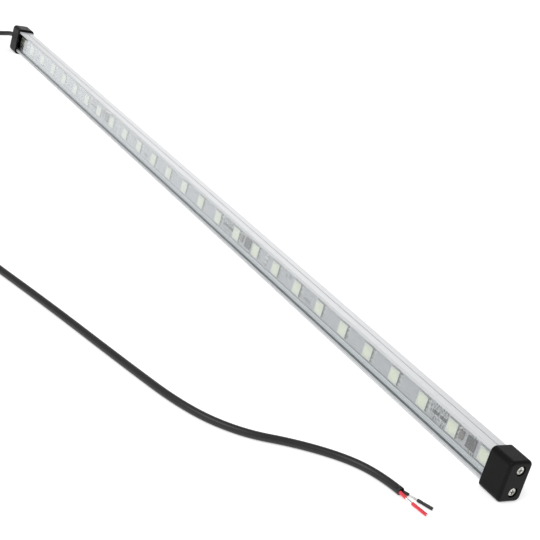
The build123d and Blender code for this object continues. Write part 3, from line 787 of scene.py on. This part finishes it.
class BATTEN_OT_wire_ends(bpy.types.Operator):
    """Makes each core's insulated stub, its twisted bare strands and the slug of insulation left on them"""

    bl_idname = "batten.wire_ends"
    bl_label = "Stripped wire ends"

    def execute(self, context):
        scene = context.scene
        sizes, colours = scene.batten_sizes, scene.batten_colours
        tinned = plain_metal("tinned strands", (0.86, 0.86, 0.85), roughness=0.2)
        for name, core, colour in (("red", RED_CORE, colours.red), ("black", BLACK_CORE, colours.black)):
            route = np.array(core) * MM
            runs = np.linalg.norm(np.diff(route, axis=0), axis=1)
            stub_end, slug_start = runs[0] / runs.sum(), (runs[0] + runs[1]) / runs.sum()
            vinyl = soft_jacket(f"{name} core insulation", tuple(colour), gloss=0.36)
            stub = self.sleeve(line_of(route, 0.0, stub_end, 60), sizes, False)
            slug = self.sleeve(line_of(route, slug_start, 0.975, 60), sizes, True)
            strands = self.strands(line_of(route, stub_end * 0.8, 0.985, 90), sizes)
            for title, shape, slot, finish, node in (
                ("stub", stub, f"core_{name}", vinyl, "core_stub"),
                ("slug", slug, f"core_{name}", vinyl, "pulled_slug"),
                ("strands", strands, "strands", tinned, "bare_strands"),
            ):
                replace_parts(piece(f"{title}_{name}", *shape, slot, finish), f"{node}_{name}")
        return {"FINISHED"}

    def sleeve(self, line, sizes, nicked):
        """A skin about the core: full radius with rounded cut ends, and a blade's nicks where it dips."""
        share = np.linspace(0.0, 1.0, len(line))
        radii = sizes.core_diameter / 2 * (1 + 0.02 * np.sin(share * 9 + 1))
        ends = np.minimum(share, 1 - share) * len(line)
        radii *= np.clip(0.86 + 0.07 * ends, 0, 1)
        if nicked:
            deep, shallow = np.exp(-((share - 0.35) / 0.02) ** 2), np.exp(-((share - 0.8) / 0.015) ** 2)
            radii *= 1 - 0.26 * deep - 0.08 * shallow
        rim = radii[0] * np.array([0.0, 0.5, 0.92])
        radii = np.concatenate([rim, radii, rim[::-1]])
        steps = np.array([0.0, 0.01, 0.03, 0.1])[:, None]
        lead_in = line[0] + (line[1] - line[0]) * steps
        lead_out = line[-1] - (line[-1] - line[-2]) * steps[::-1]
        return tube(np.concatenate([lead_in, line[1:-1], lead_out]), radii, 22)

    def strands(self, line, sizes):
        """Fine strands twisted round a middle one: each is a round skin about the core's line, moved
        sideways by the lay radius at an angle that grows along the line."""
        _, level, up = frames(line)
        share = np.linspace(0.0, 1.0, len(line))
        lay = sizes.strand_diameter * (1.0 + 0.25 * np.exp(-((share - 0.28) / 0.1) ** 2))
        thick = np.full(len(line), sizes.strand_diameter / 2)
        thick[[0, -1]] = 0.0
        skins = [tube(line, thick, 8)]
        for k in range(sizes.strands):
            angle = 2 * math.pi * (k / sizes.strands + share * 2.2)
            moved = line + lay[:, None] * (np.cos(angle)[:, None] * level + np.sin(angle)[:, None] * up)
            skins.append(tube(moved, thick, 8))
        return joined(skins)


class BATTEN_OT_leds(bpy.types.Operator):
    """Makes each LED's resin, its terminals with their solder, and the pads they stand on"""

    bl_idname = "batten.leds"
    bl_label = "LED resin, terminals and solder"

    def execute(self, context):
        scene = context.scene
        sizes, colours = scene.batten_sizes, scene.batten_colours
        resin = phosphor_resin(tuple(colours.resin))
        solder = plain_metal("soldered terminals", (0.62, 0.61, 0.58), roughness=0.3, tarnish=0.5)
        pads = plain_metal("tinned pads", (0.72, 0.71, 0.69), roughness=0.38)
        half = sizes.led_side / 2
        for board in BOARDS:
            centres = led_centres(board)
            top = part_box(f"led_phosphor_{board}")[1].y - centres[0, 1]
            tall = (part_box(f"led_packages_{board}")[1].y - centres[0, 1]) * 0.55
            r = sizes.resin_radius
            radii = r * np.array([1.0, 0.97, 0.86, 0.62, 0.35, 0.0])
            rises = top - np.array([0.0, 0.02, 0.07, 0.12, 0.14, 0.14]) * MM
            shown = piece(f"resin_{board}", *discs(centres, radii, rises, 28), "phosphor", resin)
            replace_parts(shown, f"led_phosphor_{board}")
            offsets = [(end * (half + 0.18 * MM), z * MM) for end in (-1, 1) for z in (-1.7, 0.0, 1.7)]
            places = np.concatenate([shifted(centres, x=x, z=z) for x, z in offsets])
            terminals = pillows(places, (1.0 * MM, 1.0 * MM), tall, 7, 2.4, 0.8)
            piece(f"terminals_{board}", *terminals, "solder", solder)
            flat = np.concatenate([shifted(centres, x=x * 1.12, z=z) for x, z in offsets])
            piece(f"pads_{board}", *pillows(flat, (1.4 * MM, 1.2 * MM), 0.06 * MM, 5, 8.0), "solder", pads)
        return {"FINISHED"}


class BATTEN_OT_boards(bpy.types.Operator):
    """Makes the boards' vias, test pads and printed marks, which are plain bars and rings"""

    bl_idname = "batten.boards"
    bl_label = "Board pads and print"

    def execute(self, context):
        tin = plain_metal("tinned vias", (0.66, 0.65, 0.62), roughness=0.35)
        ink = printed("legend ink", (0.05, 0.05, 0.055))
        radii = np.array([0.42, 0.40, 0.22, 0.20, 0.0]) * MM
        rises = np.array([0.0, 0.05, 0.05, 0.01, 0.01]) * MM
        spots = [(k + 0.5 + 0.11 * math.sin(3.1 * k), z) for k in range(8) for z in (-2.9, 3.4)]
        spots += [(1.19, 2.6), (1.68, -2.2), (1.74, 1.9), (0.20, 2.9), (0.8, -2.6), (0.62, 2.7)]
        spots += [(7.4, -2.0), (7.7, 3.1)]
        for board in BOARDS:
            piece(f"vias_{board}", *discs(on_board(board, spots), radii, rises, 14), "solder", tin)
            piece(f"print_{board}", *joined(self.marks(board)), "chip", ink, smooth=False)
        return {"FINISHED"}

    def marks(self, board):
        """Plain printed bars, each given by its place in LED pitches, then its height up, its width and its
        length in millimetres: a row that stands for a part line, bars beside each resistor, and ticks."""
        row = ((0.48, 1.5), (0.32, 1.1), (0.56, 1.5), (0.48, 1.2), (0.32, 1.5), (0.48, 0.9))
        bars = [(6.43 + 0.05 * k, -1.4, *size) for k, size in enumerate(row)]
        bars += [(s, -2.7, 0.7, 0.2) for s in (6.45, 6.52, 6.59)]
        beside = ((0.0, 0.16, 2.6), (1.7, 0.5, 0.4), (-1.8, 0.7, 0.3))
        bars += [(s, *bar) for s in (1.215, 1.325, 1.425, 1.465, 1.57, 1.675) for bar in beside]
        ticks = [(1.24, 2.6), (1.30, 2.7), (1.38, 2.5), (1.49, 2.6), (1.55, 2.5), (1.62, 2.7)]
        ticks += [(1.27, -2.6), (1.34, -2.7), (1.52, -2.6), (1.60, -2.6), (1.73, -0.6), (1.75, 0.9)]
        ticks += [(0.30, -2.9), (0.36, -2.9), (0.44, -2.9), (0.80, 1.2), (0.81, -1.0), (7.36, 1.2)]
        ticks += [(7.42, 1.2), (7.56, 0.9)]
        bars += [(*tick, 0.55, 1.1) for tick in ticks]
        ink_height = 0.03 * MM
        return [pillows(on_board(board, [(s, z)]), (wide * MM, tall * MM), ink_height, 3, 12.0)
                for s, z, wide, tall in bars]


class BATTEN_OT_small_parts(bpy.types.Operator):
    """Makes the solder on the small parts and the pin-one dots of the driver chips"""

    bl_idname = "batten.small_parts"
    bl_label = "Solder fillets and chip dots"

    def execute(self, context):
        tin = plain_metal("fillet solder", (0.7, 0.69, 0.67), roughness=0.22)
        dot = printed("moulded dot", (0.10, 0.10, 0.10))
        chip_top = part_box("driver_chips")[1].y
        fillets, dots = [], []
        for board in BOARDS:
            chip = on_board(board, [(CHIP_AT, 0.0)])
            feet = [(k - 1.5, side * 2.8) for k in range(4) for side in (-1, 1)]
            pins = np.concatenate([shifted(chip, x=x * MM, z=z * MM) for x, z in feet])
            fillets.append(pillows(pins, (0.6 * MM, 1.0 * MM), 0.26 * MM, 5, 2.5))
            ends = on_board(board, [(s, side * 1.2) for s in RESISTORS_AT for side in (-1, 1)])
            fillets.append(pillows(ends, (1.3 * MM, 0.6 * MM), 0.3 * MM, 5, 2.5))
            ends = on_board(board, [(CERAMIC_AT, 0.2 + side * 1.6) for side in (-1, 1)])
            fillets.append(pillows(ends, (2.0 * MM, 0.9 * MM), 0.4 * MM, 5, 2.5))
            chip[:, 1] = chip_top
            dots.append(shifted(chip, x=-1.5 * MM, z=1.3 * MM))
        piece("fillets", *joined(fillets), "solder", tin)
        radii = np.array([0.3, 0.28, 0.0]) * MM
        rises = np.array([0.0, 0.01, 0.01]) * MM
        piece("pin_one_dots", *discs(np.concatenate(dots), radii, rises, 16), "chip", dot)
        return {"FINISHED"}


class BATTEN_OT_finishes(bpy.types.Operator):
    """Gives every carried-over CAD piece its finish"""

    bl_idname = "batten.finishes"
    bl_label = "Finishes of the CAD pieces"

    def execute(self, context):
        colours = context.scene.batten_colours
        cap = moulded("moulded cap", tuple(colours.cap), grain=3600.0, gloss=0.38, depth=0.05, shine=0.09)
        package = led_package(tuple(colours.package))
        chip = moulded("chip package", (0.013, 0.012, 0.013), grain=6000.0, depth=0.02, lift=1.5)
        red = soft_jacket("feed insulation red", tuple(colours.red))
        black = soft_jacket("feed insulation black", tuple(colours.black))
        steel = plain_metal("plated screws", (0.66, 0.65, 0.62), roughness=0.24, grain=1800.0, tarnish=0.62)
        tin = plain_metal("tinned ends", (0.7, 0.69, 0.68), roughness=0.26)
        finishes = {
            "channel_extrusion": anodised_aluminium(tuple(colours.metal)),
            "clear_cover": clear_sheet(),
            "thermal_tape": moulded("thermal tape", (0.42, 0.42, 0.41), grain=900.0, gloss=0.8, lift=1.1),
            "driver_chips": chip, "resistor_bodies": chip,
            "chip_pins": tin, "resistor_ends": tin, "solder_bridges": tin,
            "capacitors": moulded("ceramic parts", (0.13, 0.092, 0.078), grain=4000.0, gloss=0.4, lift=1.2),
            "feed_wire_red": red, "feed_wire_black": black,
        }
        mask = solder_mask(tuple(colours.board))
        for board in BOARDS:
            finishes[f"board_{board}"] = mask
            finishes[f"led_packages_{board}"] = package
        gasket = moulded("gasket rubber", (0.05, 0.05, 0.052), grain=1800.0, gloss=0.7)
        for end in ("near", "far"):
            finishes[f"end_cap_{end}"] = cap
            finishes[f"insert_block_{end}"] = cap
            finishes[f"cap_gasket_{end}"] = gasket
            finishes[f"cap_screws_{end}"] = steel
        for name, finish in finishes.items():
            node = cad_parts[name]
            node.data.materials.clear()
            node.data.materials.append(finish)
        return {"FINISHED"}


class BATTEN_PT_panel(bpy.types.Panel):
    bl_idname = "BATTEN_PT_panel"
    bl_label = "LED batten"
    bl_space_type = "VIEW_3D"
    bl_region_type = "UI"
    bl_category = "Batten"

    def draw(self, context):
        for group in ("batten_sizes", "batten_colours", "batten_light"):
            settings = getattr(context.scene, group)
            column = self.layout.column()
            for name in settings.bl_rna.properties.keys():
                if name not in ("rna_type", "name"):
                    column.prop(settings, name)
        for step in STEPS:
            self.layout.operator(step.bl_idname)


GROUPS = {"batten_sizes": BattenSizes, "batten_colours": BattenColours, "batten_light": BattenLight}
STEPS = (BATTEN_OT_stage, BATTEN_OT_wire_ends, BATTEN_OT_lead, BATTEN_OT_leds, BATTEN_OT_boards,
         BATTEN_OT_small_parts, BATTEN_OT_finishes)


def register():
    for group in GROUPS.values():
        bpy.utils.register_class(group)
    for name, group in GROUPS.items():
        setattr(bpy.types.Scene, name, bpy.props.PointerProperty(type=group))
    for step in STEPS:
        bpy.utils.register_class(step)
    bpy.utils.register_class(BATTEN_PT_panel)


def unregister():
    bpy.utils.unregister_class(BATTEN_PT_panel)
    for step in reversed(STEPS):
        bpy.utils.unregister_class(step)
    for name, group in GROUPS.items():
        delattr(bpy.types.Scene, name)
        bpy.utils.unregister_class(group)


def main():
    register()
    bpy.ops.batten.stage()
    bpy.ops.batten.wire_ends()
    bpy.ops.batten.lead()
    bpy.ops.batten.leds()
    bpy.ops.batten.boards()
    bpy.ops.batten.small_parts()
    bpy.ops.batten.finishes()


if __name__ == "__main__":
    main()
